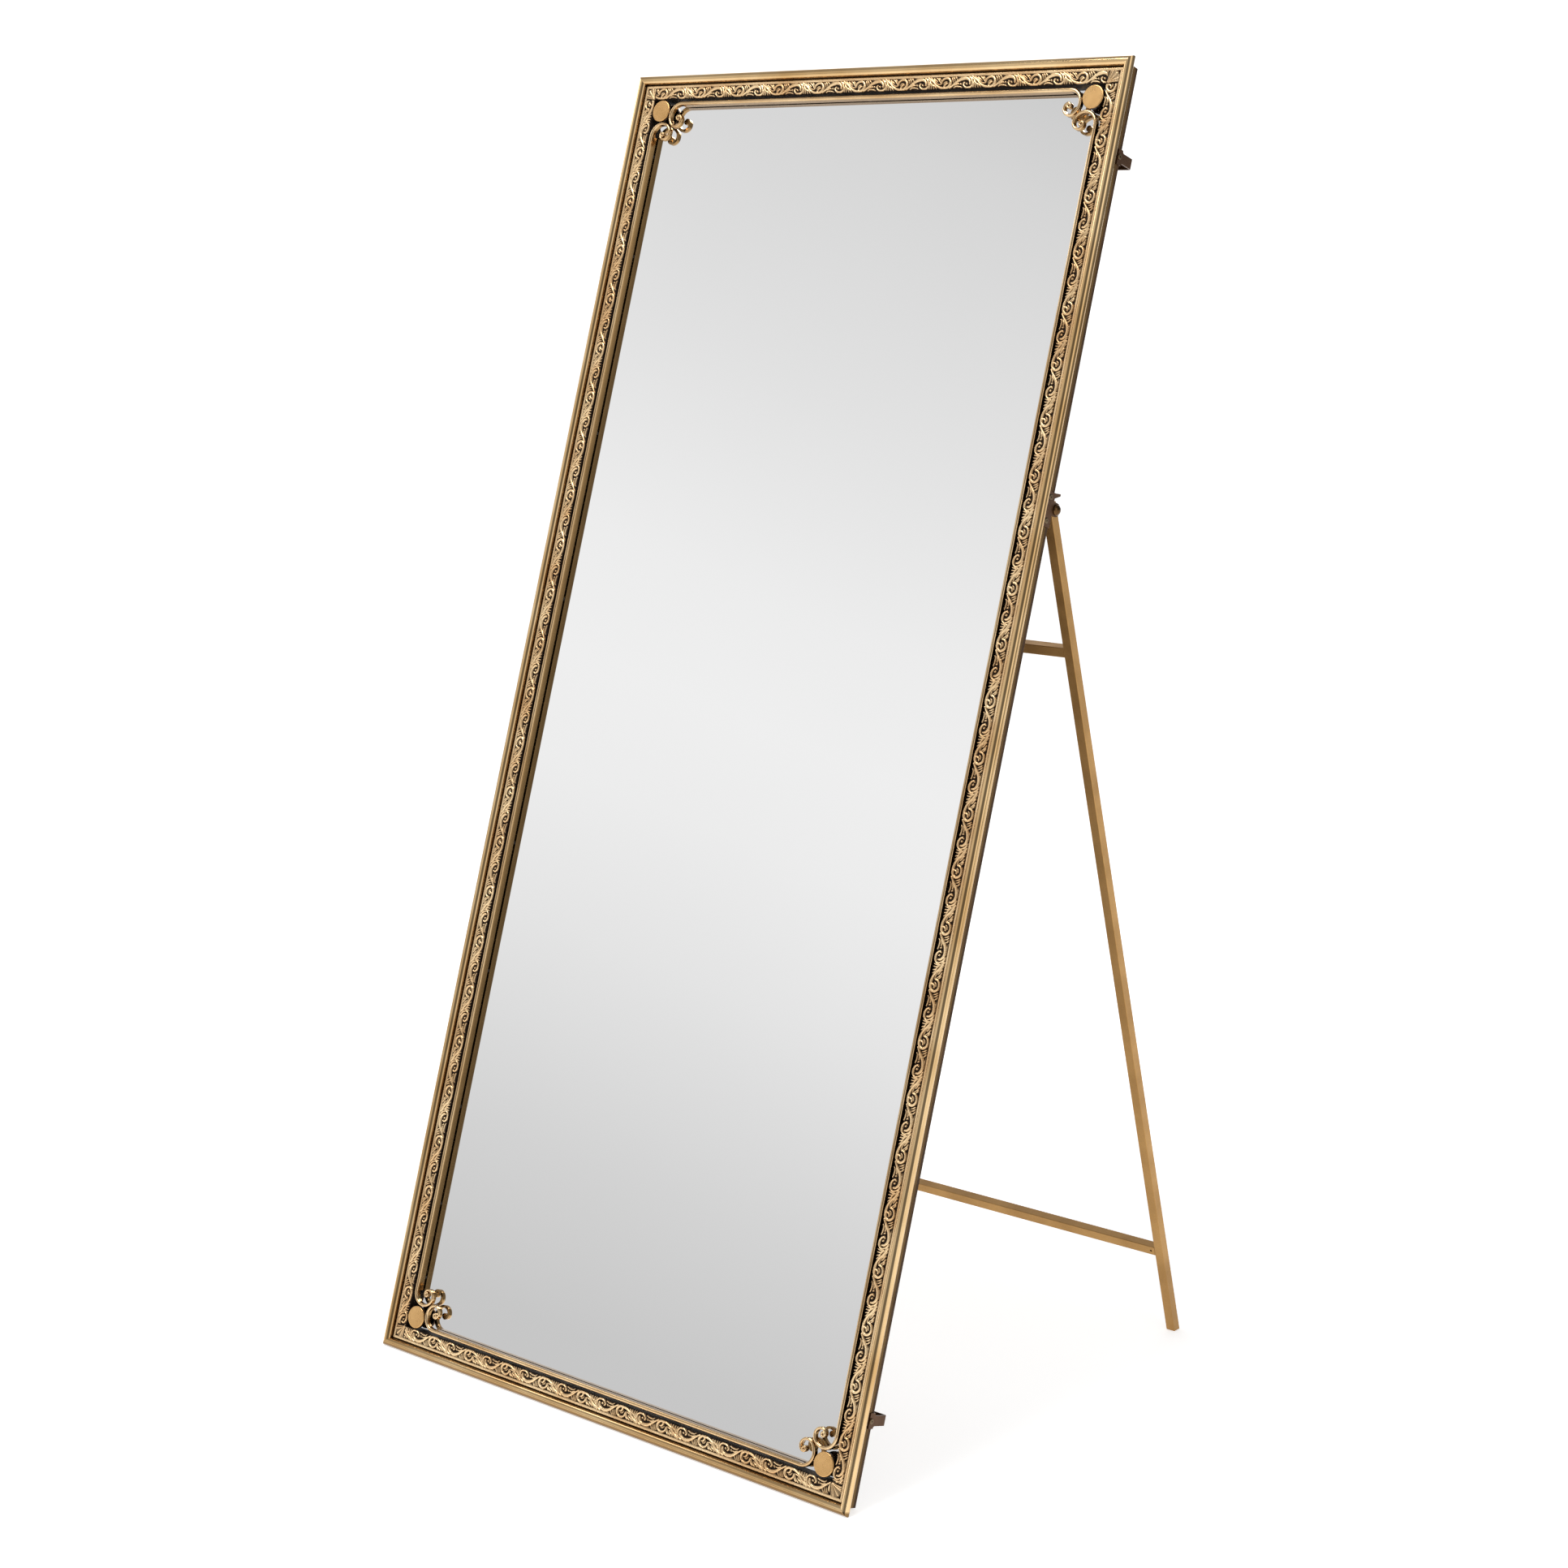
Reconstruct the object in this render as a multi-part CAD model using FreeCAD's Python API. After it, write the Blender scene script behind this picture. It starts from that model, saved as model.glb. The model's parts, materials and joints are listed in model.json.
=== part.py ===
"""Free-standing floor mirror: a leaning rectangular frame with scroll work, and a hinged rear stand.

The frame parts are drawn upright first: X to the right, Y to the rear, Z up the frame, with the
frame's lower edge at Z 0 and the middle of the outer moulding at Y 0. The stand parts are drawn
hanging straight down from the pivot. Both groups are then tilted to the open stance and set on
the floor. The finished origin is the middle of the whole footprint, on the floor. Front faces -Y.
"""

import FreeCAD, Part
import math
import os

from FreeCAD import Vector

# ---------------------------------------------------------------- driving dimensions, mm and degrees
FRAME_WIDTH = 810.0
FRAME_HEIGHT = 1780.0
FRAME_LEAN = 17.7
LEG_LEAN = 16.2

# section of the frame: A is the inset from the outer edge, N the depth behind the moulding's middle
MOULDING_R = 6.0
MOULDING_WALL = 1.5
BAND_A0, BAND_A1 = 13.2, 33.0
BAND_N0, BAND_N1 = -1.4, 3.5
RAIL_A0, RAIL_REBATE_A, RAIL_A1 = 8.0, 20.0, 33.0
RAIL_SEAT_N = 6.1
RAIL_N1 = 18.0
GLASS_N, GLASS_T = 12.5, 4.0
GLASS_EDGE_A = 21.0
PANEL_T = 5.0
REAR_N = RAIL_N1 + PANEL_T

# inner bars: deep and straight between two shallower scrolls, on small square posts over the glass
BAR_A = 39.2
BAR_T, BAR_TIP_T = 5.0, 2.8
BAR_N0, BAR_N1, SCROLL_N1 = -0.5, 10.5, 6.2
BAR_START = 84.6
SCROLL_RADII = (17.3, 16.8, 17.6, 10.6, 9.6, 8.6, 7.2, 4.9, 3.6, 2.9, 2.4)
SCROLL_STEP = 45.0
EYE_R, EYE_HOLE_R = 3.9, 0.9
POST_SIDE = 4.0
SIDE_POST_HEIGHTS = (102.0, 204.0, 338.0, 526.0, 704.0, 1045.0, 1278.0, 1528.0, 1670.0)
END_POST_PLACES = (-215.0, 0.0, 215.0)

# corner discs
DISC_A = 49.4
DISC_R, DISC_T, DISC_ROUND = 15.0, 5.0, 1.4
DISC_POST_R = 5.0

# stand
TUBE = 13.0
TUBE_WALL = 1.5
TUBE_ROUND = 0.8
LEG_OUTER_X = 396.0
PIVOT_U, PIVOT_N = 1225.0, 30.2
LEG_TOP = 9.0
HEEL_GAP = 0.35
UPPER_BAR_DROP = 187.0
LOWER_BAR_DROP = 1076.0
PLUG_TOP, PLUG_CLEARANCE = 40.0, 0.05
FOOT_SPARE = 20.0
VENT_R, VENT_INSET = 1.5, 6.0

# pivot hardware
BOLT_R, BOLT_CLEARANCE = 3.0, 0.06
BOLT_HEAD_R, BOLT_HEAD_H, BOLT_HEAD_ROUND, BOLT_HEAD_GAP = 5.5, 3.2, 1.2, 0.4
CAP_R, CAP_H, CAP_SKIRT = 6.8, 5.4, 1.4
WASHER_R, WASHER_GAP = 6.2, 0.1

# hinge plates
PLATE_T = 2.0
PLATE_N0 = 8.5
PLATE_BELOW, PLATE_ABOVE = 24.0, 19.0
EAR_R = 8.5
LUG_REACH, LUG_RISE = 11.0, 1.4
LUG_BASE, LUG_TIP_DROP, LUG_NOSE_RISE, LUG_NOSE = 6.5, 1.3, 0.6, 1.0
PLATE_SCREW_INSET, PLATE_SCREW_REAR = 7.0, 1.0

# wall spacers
STRAP_W, STRAP_T, STRAP_SPAN = 12.5, 2.5, 32.0
STRAP_N1 = 48.5
STRAP_BEND = 5.0
STRAP_FOOT, STRAP_FOOT_ROUND = 13.0, 4.0
STRAP_SIDE_N0, STRAP_SIDE_W, STRAP_FLARE = 14.0, 19.0, 3.0
SPACER_SCREW_N = 16.4
LOWER_SPACER_U, UPPER_SPACER_U = 113.0, 1660.0

# screws
SCREW_R, SCREW_CLEARANCE = 1.6, 0.06
SCREW_HEAD_R, SCREW_HEAD_H = 3.6, 1.9
SCREW_HEAD_ROUND, SCREW_SOCKET_R = 1.1, 0.9
SCREW_L, SCREW_END_GAP, SHORT_SCREW_GAP = 11.0, 0.5, 0.6
PANEL_SCREWS_ACROSS, PANEL_SCREWS_UP = 3, 6

HALF_W = FRAME_WIDTH / 2
BOX_X = HALF_W - RAIL_A0
LEG_MID_X = LEG_OUTER_X - TUBE / 2
SIDES = ("bottom", "top", "left", "right")
X, Y, Z = Vector(1, 0, 0), Vector(0, 1, 0), Vector(0, 0, 1)

frame_parts = {}
stand_parts = {}


# ---------------------------------------------------------------- small helpers
def box(x0, x1, y0, y1, z0, z1):
    return Part.makeBox(x1 - x0, y1 - y0, z1 - z0, Vector(x0, y0, z0))


def rod(r, start, along, length):
    return Part.makeCylinder(r, length, start, along)


def polygon_prism(points, along):
    """A prism whose end is the closed polygon through points, pushed by the vector along."""
    return Part.Face(Part.makePolygon([Vector(*p) for p in points + points[:1]])).extrude(along)


def mirrored(shape):
    return shape.mirror(Vector(0, 0, 0), X)


def ring_length(side):
    return FRAME_WIDTH if side in ("bottom", "top") else FRAME_HEIGHT


def ring_place(shape, side):
    """Moves a bar drawn along X, outer edge at Z 0 and inset upward, to one side of the frame."""
    turn = {"bottom": 0, "top": 180, "left": 90, "right": -90}[side]
    to = {
        "bottom": Vector(0, 0, 0),
        "top": Vector(0, 0, FRAME_HEIGHT),
        "left": Vector(-HALF_W, 0, FRAME_HEIGHT / 2),
        "right": Vector(HALF_W, 0, FRAME_HEIGHT / 2),
    }[side]
    moved = shape.copy()
    moved.Placement = FreeCAD.Placement(to, FreeCAD.Rotation(Y, turn))
    return moved


def mitre_prism(length, inset):
    """Everything between the two 45 degree mitres of a bar of that outer length, down to that inset."""
    h = length / 2
    outline = [(-h, -50, 0), (h, -50, 0), (h - inset, -50, inset), (-h + inset, -50, inset)]
    return polygon_prism(outline, Vector(0, 100, 0))


def mitred_ring(name, section):
    """Four mitred bars of one section. section is a face in the X 0 plane: Y is depth, Z is inset."""
    for side in SIDES:
        length = ring_length(side)
        bar = section.copy()
        bar.translate(Vector(-length / 2, 0, 0))
        bar = bar.extrude(Vector(length, 0, 0)).common(mitre_prism(length, 60.0))
        frame_parts[f"{name}_{side}"] = ring_place(bar, side)


def section_face(points):
    """A face from (depth N, inset A) corners."""
    corners = [Vector(0, n, a) for n, a in points + points[:1]]
    return Part.Face(Part.makePolygon(corners))


def pan_screw(at, along):
    """A pan-head screw: at is the middle of the seat under its head, along is where the shank goes."""
    head = rod(SCREW_HEAD_R, at - along * SCREW_HEAD_H, along, SCREW_HEAD_H)
    rim = [e for e in head.Edges if on_plane(e, at, along, -SCREW_HEAD_H)]
    head = head.makeFillet(SCREW_HEAD_ROUND, rim)
    socket = rod(SCREW_SOCKET_R, at - along * (SCREW_HEAD_H + 0.1), along, 1.1)
    return head.cut(socket).fuse(rod(SCREW_R, at, along, SCREW_L)).removeSplitter()


def on_plane(edge, at, along, offset):
    """True if a circular edge lies in the plane that is offset from at along the vector along."""
    if not isinstance(edge.Curve, Part.Circle):
        return False
    return abs((edge.Curve.Center - at).dot(along) - offset) < 1e-6


def screw_hole(at, along, depth):
    return rod(SCREW_R + SCREW_CLEARANCE, at, along, depth)


# ---------------------------------------------------------------- frame: moulding, bands, rails
def make_moulding():
    centre = Vector(0, 0, MOULDING_R)
    outer = Part.Wire(Part.makeCircle(MOULDING_R, centre, X))
    inner = Part.Wire(Part.makeCircle(MOULDING_R - MOULDING_WALL, centre, X))
    mitred_ring("moulding", Part.Face(outer).cut(Part.Face(inner)).Faces[0])


def make_bands():
    corners = [(BAND_N0, BAND_A0), (BAND_N1, BAND_A0), (BAND_N1, BAND_A1), (BAND_N0, BAND_A1)]
    mitred_ring("embossed_band", section_face(corners))


def make_rails():
    """Rails with a seat for the round moulding in front, and a rebate for the glass behind."""
    corners = [
        (RAIL_SEAT_N, RAIL_A0),
        (RAIL_SEAT_N, BAND_A0),
        (BAND_N1, BAND_A0),
        (BAND_N1, RAIL_A1),
        (GLASS_N, RAIL_A1),
        (GLASS_N, RAIL_REBATE_A),
        (RAIL_N1, RAIL_REBATE_A),
        (RAIL_N1, RAIL_A0),
    ]
    mitred_ring("rail", section_face(corners))


# ---------------------------------------------------------------- glass and back
def make_glass_and_back():
    x, z0, z1 = HALF_W - GLASS_EDGE_A, GLASS_EDGE_A, FRAME_HEIGHT - GLASS_EDGE_A
    back_n = GLASS_N + GLASS_T
    frame_parts["mirror_glass"] = box(-x, x, GLASS_N, back_n, z0, z1)
    frame_parts["backing_sheet"] = box(-x, x, back_n, RAIL_N1, z0, z1)
    top = FRAME_HEIGHT - RAIL_A0
    frame_parts["back_panel"] = box(-BOX_X, BOX_X, RAIL_N1, REAR_N, RAIL_A0, top)


def panel_screw_places():
    """Screws through the panel into the rails, evenly spaced round the edge."""
    a = (RAIL_A0 + RAIL_REBATE_A) / 2
    x, z0, z1 = HALF_W - a, a, FRAME_HEIGHT - a
    places = []
    for i in range(PANEL_SCREWS_ACROSS):
        along = -x + 2 * x * (i + 0.5) / PANEL_SCREWS_ACROSS
        places += [(along, z0), (along, z1)]
    for i in range(PANEL_SCREWS_UP):
        up = z0 + (z1 - z0) * (i + 0.5) / PANEL_SCREWS_UP
        places += [(-x, up), (x, up)]
    return [Vector(px, REAR_N, pz) for px, pz in places]


def make_panel_screws():
    places = panel_screw_places()
    frame_parts["back_panel_screws"] = Part.makeCompound([pan_screw(p, -Y) for p in places])
    holes = Part.makeCompound([screw_hole(p, -Y, SCREW_L + SCREW_END_GAP) for p in places])
    cut_holes(["back_panel"] + [f"rail_{side}" for side in SIDES], holes)


def cut_holes(names, holes):
    for name in names:
        frame_parts[name] = frame_parts[name].cut(holes)


# ---------------------------------------------------------------- inner bars with scrolled ends
def scroll_path(start_x):
    """Points along the middle of the left scrolled end of a bar on the frame's bottom side.

    The bar runs towards -X at inset BAR_A, then winds inward through arcs of SCROLL_RADII.
    Each entry is (x, inset, heading in radians, distance run)."""
    x, a, heading, run = start_x, BAR_A, math.pi, 0.0
    steps_per_arc = 5
    path = [(x, a, heading, run)]
    for radius in SCROLL_RADII:
        turn = math.radians(SCROLL_STEP) / steps_per_arc
        chord = 2 * radius * math.sin(turn / 2)
        for _ in range(steps_per_arc):
            x += chord * math.cos(heading - turn / 2)
            a += chord * math.sin(heading - turn / 2)
            heading -= turn
            run += radius * turn
            path.append((x, a, heading, run))
    return path


def bar_outline(length):
    """The outer and inner edge points of a bar's left end, and the middle of its eye."""
    start_x = -length / 2 + BAR_START
    path = scroll_path(start_x)
    total = path[-1][3]
    outer, inner = [], []
    for x, a, heading, run in path:
        half = (BAR_T + (BAR_TIP_T - BAR_T) * run / total) / 2
        nx, na = -math.sin(heading), math.cos(heading)
        outer.append(Vector(x + nx * half, 0, a + na * half))
        inner.append(Vector(x - nx * half, 0, a - na * half))
    end_x, end_a, end_heading, _ = path[-1]
    last = SCROLL_RADII[-1]
    eye = Vector(end_x + math.sin(end_heading) * last, 0, end_a - math.cos(end_heading) * last)
    return outer, inner, eye


def spline_through(points):
    curve = Part.BSplineCurve()
    curve.interpolate(points)
    return curve.toShape()


def flipped(points):
    return [Vector(-p.x, p.y, p.z) for p in points]


def make_inner_bar(side):
    outer, inner, eye = bar_outline(ring_length(side))
    edges = []
    for one, other in ((outer, inner), (flipped(outer), flipped(inner))):
        edges.append(spline_through(one))
        edges.append(spline_through(other))
        edges.append(Part.makeLine(one[-1], other[-1]))
    edges.append(Part.makeLine(outer[0], flipped(outer)[0]))
    edges.append(Part.makeLine(inner[0], flipped(inner)[0]))
    face = Part.Face(Part.Wire(Part.__sortEdges__(edges)))
    if face.normalAt(0, 0).y < 0:
        face.reverse()
    face.translate(Vector(0, BAR_N0, 0))
    scroll_depth = SCROLL_N1 - BAR_N0
    bar = face.extrude(Vector(0, scroll_depth, 0))
    for x in (eye.x, -eye.x):
        front = Vector(x, BAR_N0, eye.z)
        bar = bar.fuse(rod(EYE_R, front, Y, scroll_depth))
        bar = bar.cut(rod(EYE_HOLE_R, front - Y, Y, scroll_depth + 2))
    reach = ring_length(side) / 2 - BAR_START
    half = BAR_T / 2
    bar = bar.fuse(box(-reach, reach, SCROLL_N1, BAR_N1, BAR_A - half, BAR_A + half))
    frame_parts[f"inner_bar_{side}"] = ring_place(bar.removeSplitter(), side)


def make_bar_posts():
    """Small square posts between each bar and the glass."""
    half = POST_SIDE / 2
    posts = []
    for side in SIDES:
        if side in ("left", "right"):
            sign = -1 if side == "left" else 1
            places = [sign * (h - FRAME_HEIGHT / 2) for h in SIDE_POST_HEIGHTS]
        else:
            places = END_POST_PLACES
        for along in places:
            post = box(along - half, along + half, BAR_N1, GLASS_N, BAR_A - half, BAR_A + half)
            posts.append(ring_place(post, side))
    frame_parts["bar_posts"] = Part.makeCompound(posts)


# ---------------------------------------------------------------- corner discs
def make_discs():
    posts = []
    for up, z in (("bottom", DISC_A), ("top", FRAME_HEIGHT - DISC_A)):
        for hand, x in (("left", -HALF_W + DISC_A), ("right", HALF_W - DISC_A)):
            start = Vector(x, BAR_N0, z)
            disc = rod(DISC_R, start, Y, DISC_T)
            disc = disc.makeFillet(DISC_ROUND, [e for e in disc.Edges if on_plane(e, start, Y, 0)])
            frame_parts[f"corner_disc_{up}_{hand}"] = disc
            behind = Vector(x, BAR_N0 + DISC_T, z)
            posts.append(rod(DISC_POST_R, behind, Y, GLASS_N - BAR_N0 - DISC_T))
    frame_parts["disc_posts"] = Part.makeCompound(posts)


# ---------------------------------------------------------------- hinge plates and pivots
def hinge_plate():
    """The right plate: on the rail's side, with a round ear behind for the bolt and a pointed lug."""
    x = BOX_X
    z0, z1 = PIVOT_U - PLATE_BELOW, PIVOT_U + PLATE_ABOVE
    flat = box(x, x + PLATE_T, PLATE_N0, REAR_N, z0, z1)
    pivot = Vector(x, PIVOT_N, PIVOT_U)
    ear = rod(EAR_R, pivot, X, PLATE_T)
    neck = box(x, x + PLATE_T, REAR_N, PIVOT_N, PIVOT_U - EAR_R, PIVOT_U + EAR_R)
    lug_tip = REAR_N + LUG_REACH
    lug_outline = [
        (x, REAR_N, z1 - LUG_BASE),
        (x, lug_tip, z1 - LUG_TIP_DROP),
        (x, lug_tip, z1 + LUG_NOSE_RISE),
        (x, lug_tip - LUG_NOSE, z1 + LUG_RISE),
        (x, REAR_N, z1),
    ]
    lug = polygon_prism(lug_outline, Vector(PLATE_T, 0, 0))
    plate = flat.fuse([ear, neck, lug]).removeSplitter()
    return plate.cut(rod(BOLT_R + BOLT_CLEARANCE, pivot - X, X, PLATE_T + 2))


def plate_screw_places():
    n = (RAIL_SEAT_N + RAIL_N1) / 2 + PLATE_SCREW_REAR
    heights = (-PLATE_BELOW + PLATE_SCREW_INSET, PLATE_ABOVE - PLATE_SCREW_INSET)
    return [Vector(BOX_X + PLATE_T, n, PIVOT_U + rise) for rise in heights]


def make_hinges():
    places = plate_screw_places()
    screws = [pan_screw(p, -X) for p in places]
    holes = Part.makeCompound([screw_hole(p, -X, SCREW_L + SCREW_END_GAP) for p in places])
    plate = hinge_plate().cut(holes)
    frame_parts["hinge_plate_right"] = plate
    frame_parts["hinge_plate_left"] = mirrored(plate)
    frame_parts["hinge_plate_screws"] = Part.makeCompound(screws + [mirrored(s) for s in screws])
    cut_holes(["rail_right"], holes)
    cut_holes(["rail_left"], mirrored(holes))


def make_pivots():
    inner_x = LEG_OUTER_X - TUBE - BOLT_HEAD_GAP
    head_start = Vector(inner_x - BOLT_HEAD_H, PIVOT_N, PIVOT_U)
    head = rod(BOLT_HEAD_R, head_start, X, BOLT_HEAD_H)
    rim = [e for e in head.Edges if on_plane(e, head_start, X, 0)]
    head = head.makeFillet(BOLT_HEAD_ROUND, rim)
    shank_end = BOX_X + PLATE_T + CAP_SKIRT
    shank = rod(BOLT_R, Vector(inner_x, PIVOT_N, PIVOT_U), X, shank_end - inner_x)
    bolt = head.fuse(shank).removeSplitter()

    cap_start = Vector(BOX_X + PLATE_T, PIVOT_N, PIVOT_U)
    skirt = rod(CAP_R, cap_start, X, CAP_SKIRT)
    rise = CAP_H - CAP_SKIRT
    ball_r = (CAP_R**2 + rise**2) / (2 * rise)
    ball = Part.makeSphere(ball_r, cap_start + X * (CAP_H - ball_r))
    dome = ball.common(rod(CAP_R, cap_start + X * CAP_SKIRT, X, rise + 1))
    cap = skirt.fuse(dome).removeSplitter()
    cap = cap.cut(rod(BOLT_R, cap_start, X, CAP_SKIRT))

    washer_start = Vector(LEG_OUTER_X + WASHER_GAP, PIVOT_N, PIVOT_U)
    washer = rod(WASHER_R, washer_start, X, BOX_X - washer_start.x)
    washer = washer.cut(rod(BOLT_R + BOLT_CLEARANCE, washer_start - X, X, 4))
    for name, shape in (("pivot_bolts", bolt), ("pivot_cap_nuts", cap), ("pivot_washers", washer)):
        frame_parts[name] = Part.makeCompound([shape, mirrored(shape)])


# ---------------------------------------------------------------- wall spacers
def bent_strap():
    """The right lower strap: side leg on the rail, rounded rear web, and an inner leg with a foot."""
    x1, x0 = BOX_X + STRAP_T, BOX_X + STRAP_T - STRAP_SPAN
    low, width = LOWER_SPACER_U - STRAP_W / 2, STRAP_W
    outer = box(x0, x1, REAR_N, STRAP_N1, low, low + width)
    outer = outer.makeFillet(STRAP_BEND, vertical_edges(outer, STRAP_N1))
    inside = box(x0 + STRAP_T, x1 - STRAP_T, REAR_N, STRAP_N1 - STRAP_T, low, low + width)
    inside = inside.makeFillet(STRAP_BEND - STRAP_T, vertical_edges(inside, STRAP_N1 - STRAP_T))
    strap = outer.cut(inside)
    foot = box(x0 - STRAP_FOOT, x0 + STRAP_T, REAR_N, REAR_N + STRAP_T, low, low + width)
    corners = [e for e in foot.Edges if is_line_along(e, Y) and e.Vertexes[0].X < x0]
    foot = foot.makeFillet(STRAP_FOOT_ROUND, corners)
    side_low = LOWER_SPACER_U - STRAP_SIDE_W / 2
    side = box(BOX_X, x1, STRAP_SIDE_N0, REAR_N, side_low, side_low + STRAP_SIDE_W)
    flares = [strap_flare(x1, end) for end in (-1, 1)]
    return strap.fuse([foot, side] + flares).removeSplitter()


def strap_flare(x1, end):
    """A hollow-cornered fillet where the wide side plate meets the narrower strap."""
    near = LOWER_SPACER_U + end * STRAP_W / 2
    far = near + end * STRAP_FLARE
    rear = REAR_N + STRAP_FLARE
    block = box(x1 - STRAP_T, x1, REAR_N, rear, min(near, far), max(near, far))
    return block.cut(rod(STRAP_FLARE, Vector(x1 - STRAP_T, rear, far), X, STRAP_T))


def vertical_edges(solid, n):
    return [e for e in solid.Edges if is_line_along(e, Z) and abs(e.Vertexes[0].Y - n) < 1e-6]


def is_line_along(edge, direction):
    if not isinstance(edge.Curve, Part.Line):
        return False
    return abs(abs(edge.Curve.Direction.dot(direction)) - 1) < 1e-6


def make_spacers():
    side_screw = Vector(BOX_X + STRAP_T, SPACER_SCREW_N, LOWER_SPACER_U)
    foot_x = BOX_X + STRAP_T - STRAP_SPAN - STRAP_FOOT / 2
    foot_screw = Vector(foot_x, REAR_N + STRAP_T, LOWER_SPACER_U)
    screws = [pan_screw(side_screw, -X), short_screw(foot_screw)]
    side_hole = screw_hole(side_screw, -X, SCREW_L + SCREW_END_GAP)
    foot_hole = screw_hole(foot_screw, -Y, PANEL_T + STRAP_T)
    holes = Part.makeCompound([side_hole, foot_hole])
    strap = bent_strap().cut(holes)
    rise = Vector(0, 0, UPPER_SPACER_U - LOWER_SPACER_U)
    all_screws = []
    for up, shift in (("bottom", Vector(0, 0, 0)), ("top", rise)):
        moved, moved_holes = strap.copy(), holes.copy()
        moved.translate(shift)
        moved_holes.translate(shift)
        frame_parts[f"wall_spacer_{up}_right"] = moved
        frame_parts[f"wall_spacer_{up}_left"] = mirrored(moved)
        for s in screws:
            set_screw = s.copy()
            set_screw.translate(shift)
            all_screws += [set_screw, mirrored(set_screw)]
        cut_holes(["rail_right", "back_panel"], moved_holes)
        cut_holes(["rail_left", "back_panel"], mirrored(moved_holes))
    frame_parts["spacer_screws"] = Part.makeCompound(all_screws)


def short_screw(at):
    """A pan-head screw whose shank stops inside the back panel, short of the sheet behind the glass."""
    shank = STRAP_T + PANEL_T - SHORT_SCREW_GAP
    keep = rod(SCREW_HEAD_R + 1, at + Y * (SCREW_HEAD_H + 1), -Y, SCREW_HEAD_H + 1 + shank)
    return pan_screw(at, -Y).common(keep)


# ---------------------------------------------------------------- stand, drawn hanging from 0, 0, 0
def floor_drop():
    """How far below the pivot the floor lies, measured straight down."""
    lean = math.radians(FRAME_LEAN)
    pivot_z = PIVOT_U * math.cos(lean) - PIVOT_N * math.sin(lean)
    lowest = MOULDING_R * math.cos(lean) - MOULDING_R
    return pivot_z - lowest


def floor_cutter():
    """All space below the floor, seen from the hanging stand."""
    lean = math.radians(LEG_LEAN)
    block = box(-600, 600, -600, 600, -400, 0)
    block.rotate(Vector(0, 0, 0), X, -LEG_LEAN)
    down = Vector(0, -math.sin(lean), -math.cos(lean)) * floor_drop()
    block.translate(down)
    return block


def heel_cutter():
    """The space behind the open frame's rear face plus a small gap, seen from the hanging stand."""
    near = PIVOT_N - REAR_N - HEEL_GAP
    block = box(-600, 600, -200, -near, -300, 300)
    block.rotate(Vector(0, 0, 0), X, -(FRAME_LEAN + LEG_LEAN))
    return block


def make_legs():
    half, bore = TUBE / 2, TUBE / 2 - TUBE_WALL
    length = floor_drop() / math.cos(math.radians(LEG_LEAN)) + FOOT_SPARE
    leg = box(LEG_MID_X - half, LEG_MID_X + half, -half, half, -length, LEG_TOP)
    leg = leg.makeFillet(TUBE_ROUND, [e for e in leg.Edges if is_line_along(e, Z)])
    inside = box(LEG_MID_X - bore, LEG_MID_X + bore, -bore, bore, -length - 1, -LEG_TOP)
    pin_hole = rod(BOLT_R + BOLT_CLEARANCE, Vector(LEG_MID_X - TUBE, 0, 0), X, 2 * TUBE)
    leg = leg.cut([inside, pin_hole, heel_cutter(), floor_cutter()])
    stand_parts["leg_right"] = leg
    stand_parts["leg_left"] = mirrored(leg)

    tight = bore - PLUG_CLEARANCE
    foot = box(LEG_MID_X - tight, LEG_MID_X + tight, -tight, tight, -length, -length + PLUG_TOP)
    foot = foot.cut(floor_cutter())
    stand_parts["foot_plugs"] = Part.makeCompound([foot, mirrored(foot)])


def make_crossbars():
    half, bore = TUBE / 2, TUBE / 2 - TUBE_WALL
    x = LEG_OUTER_X - TUBE
    for name, drop in (("upper_crossbar", UPPER_BAR_DROP), ("lower_crossbar", LOWER_BAR_DROP)):
        bar = box(-x, x, -half, half, -drop - half, -drop + half)
        bar = bar.makeFillet(TUBE_ROUND, [e for e in bar.Edges if is_line_along(e, X)])
        bar = bar.cut(box(-x, x, -bore, bore, -drop - bore, -drop + bore))
        if name == "lower_crossbar":
            for vent_x in (VENT_INSET - x, x - VENT_INSET):
                bar = bar.cut(rod(VENT_R, Vector(vent_x, -half - 1, -drop), Y, TUBE_WALL + 2))
        stand_parts[name] = bar


# ---------------------------------------------------------------- build, tilt, set on the floor
def tilt(shape, lean, pivot):
    """Leans a shape drawn upright, and sets the point it is drawn about at pivot."""
    moved = shape.copy()
    moved.rotate(Vector(0, 0, 0), X, lean)
    moved.translate(pivot)
    return moved


def main():
    make_moulding()
    make_bands()
    make_rails()
    make_glass_and_back()
    make_panel_screws()
    for side in SIDES:
        make_inner_bar(side)
    make_bar_posts()
    make_discs()
    make_hinges()
    make_pivots()
    make_spacers()
    make_legs()
    make_crossbars()

    lean = math.radians(FRAME_LEAN)
    lift = MOULDING_R - MOULDING_R * math.cos(lean)
    pivot = Vector(
        0,
        PIVOT_U * math.sin(lean) + PIVOT_N * math.cos(lean),
        PIVOT_U * math.cos(lean) - PIVOT_N * math.sin(lean) + lift,
    )
    parts = {name: tilt(s, -FRAME_LEAN, Vector(0, 0, lift)) for name, s in frame_parts.items()}
    parts.update({name: tilt(s, LEG_LEAN, pivot) for name, s in stand_parts.items()})

    boxes = [s.optimalBoundingBox(False, False) for s in parts.values()]
    middle = (min(b.YMin for b in boxes) + max(b.YMax for b in boxes)) / 2
    os.makedirs("parts", exist_ok=True)
    for name, shape in parts.items():
        shape.translate(Vector(0, -middle, 0))
        shape.exportStep(f"parts/{name}.step")
    report(parts, pivot - Vector(0, middle, 0), middle)


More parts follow.
